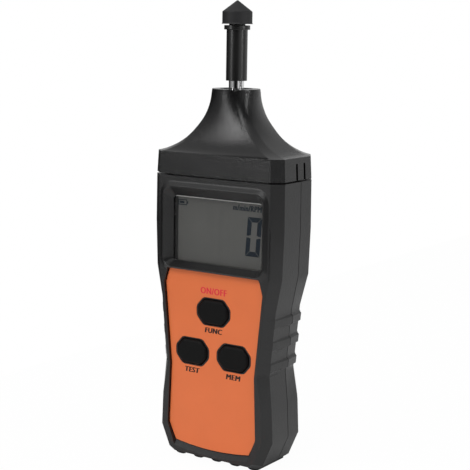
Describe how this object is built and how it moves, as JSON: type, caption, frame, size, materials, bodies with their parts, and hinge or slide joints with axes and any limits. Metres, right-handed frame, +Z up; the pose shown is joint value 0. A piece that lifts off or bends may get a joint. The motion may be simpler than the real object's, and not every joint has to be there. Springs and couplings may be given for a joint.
{
  "type": "digital tachometer",
  "caption": "Handheld digital tachometer with an orange key panel, a grey display and a pull-off contact adapter whose spindle carries a conical rubber tip.",
  "frame": {"origin": "middle of the base pads, under the spindle axis", "axes": "+Z up the spindle axis, +Y to the back of the case, +X to the right when the face is seen"},
  "size_m": [0.0612, 0.0309, 0.1845],
  "materials": {
    "case_plastic": "finely textured satin black",
    "adapter_plastic": "finely textured satin black",
    "overlay_orange": "satin orange film",
    "window_clear": "polished clear plastic",
    "display_glass": "grey liquid crystal panel",
    "inner_plastic": "moulded black",
    "contact_rubber": "layered conductive rubber",
    "board_green": "green solder mask",
    "chip_black": "moulded epoxy",
    "can_metal": "drawn can",
    "header_white": "natural moulded",
    "screw_steel": "plated",
    "emitter_clear": "clear epoxy",
    "sensor_dark": "dark red filter",
    "battery_jacket": "satin metal jacket",
    "lead_pvc": "insulated wire",
    "bearing_steel": "ground steel",
    "shaft_steel": "polished steel",
    "mark_silver": "reflective tape",
    "holder_plastic": "turned black plastic",
    "tip_rubber": "moulded rubber",
    "key_rubber": "soft black rubber",
    "plunger_plastic": "natural moulded"
  },
  "bodies": {
    "housing": {"front_cover": "case_plastic", "rear_cover": "case_plastic", "face_overlay": "overlay_orange", "lcd_window": "window_clear", "lcd_panel": "display_glass", "lcd_frame": "inner_plastic", "contact_strips": "contact_rubber", "main_board": "board_green", "switch_housings": "inner_plastic", "microcontroller": "chip_black", "crystal": "can_metal", "capacitors": "can_metal", "wire_header": "header_white", "case_screws": "screw_steel", "board_screws": "screw_steel", "sensor_board": "board_green", "board_link": "header_white", "sensor_holder": "inner_plastic", "light_emitter": "emitter_clear", "photodiode": "sensor_dark", "nose_window": "sensor_dark", "battery": "battery_jacket", "battery_clip": "inner_plastic", "battery_leads": "lead_pvc"},
    "adapter": {"adapter_shell": "adapter_plastic", "lower_bearing_outer_ring": "bearing_steel", "upper_bearing_outer_ring": "bearing_steel", "lower_bearing_balls": "bearing_steel", "upper_bearing_balls": "bearing_steel", "retaining_ring": "bearing_steel"},
    "spindle": {"drive_shaft": "shaft_steel", "bearing_spacer": "shaft_steel", "reflector_disc": "inner_plastic", "reflective_mark": "mark_silver", "tip_holder": "holder_plastic", "contact_tip": "tip_rubber", "lower_bearing_inner_ring": "bearing_steel", "upper_bearing_inner_ring": "bearing_steel"},
    "on_off_key": {"button_on_off": "key_rubber", "plunger_on_off": "plunger_plastic"},
    "test_key": {"button_test": "key_rubber", "plunger_test": "plunger_plastic"},
    "mem_key": {"button_mem": "key_rubber", "plunger_mem": "plunger_plastic"},
    "door": {"battery_door": "case_plastic"}
  },
  "joints": [
    {"name": "adapter_pull", "type": "slide", "parent": "housing", "child": "adapter", "axis": [0, 0, 1], "range_m": [0, 0.045]},
    {"name": "spindle_spin", "type": "hinge", "parent": "adapter", "child": "spindle", "pos_m": [0, 0, 0.138], "axis": [0, 0, 1], "continuous": true},
    {"name": "on_off_press", "type": "slide", "parent": "housing", "child": "on_off_key", "axis": [0, 1, 0], "range_m": [0, 0.0005], "stiffness_N_per_m": 600},
    {"name": "test_press", "type": "slide", "parent": "housing", "child": "test_key", "axis": [0, 1, 0], "range_m": [0, 0.0005], "stiffness_N_per_m": 600},
    {"name": "mem_press", "type": "slide", "parent": "housing", "child": "mem_key", "axis": [0, 1, 0], "range_m": [0, 0.0005], "stiffness_N_per_m": 600},
    {"name": "door_slide", "type": "slide", "parent": "housing", "child": "door", "axis": [0, 0, -1], "range_m": [0, 0.05]}
  ]
}
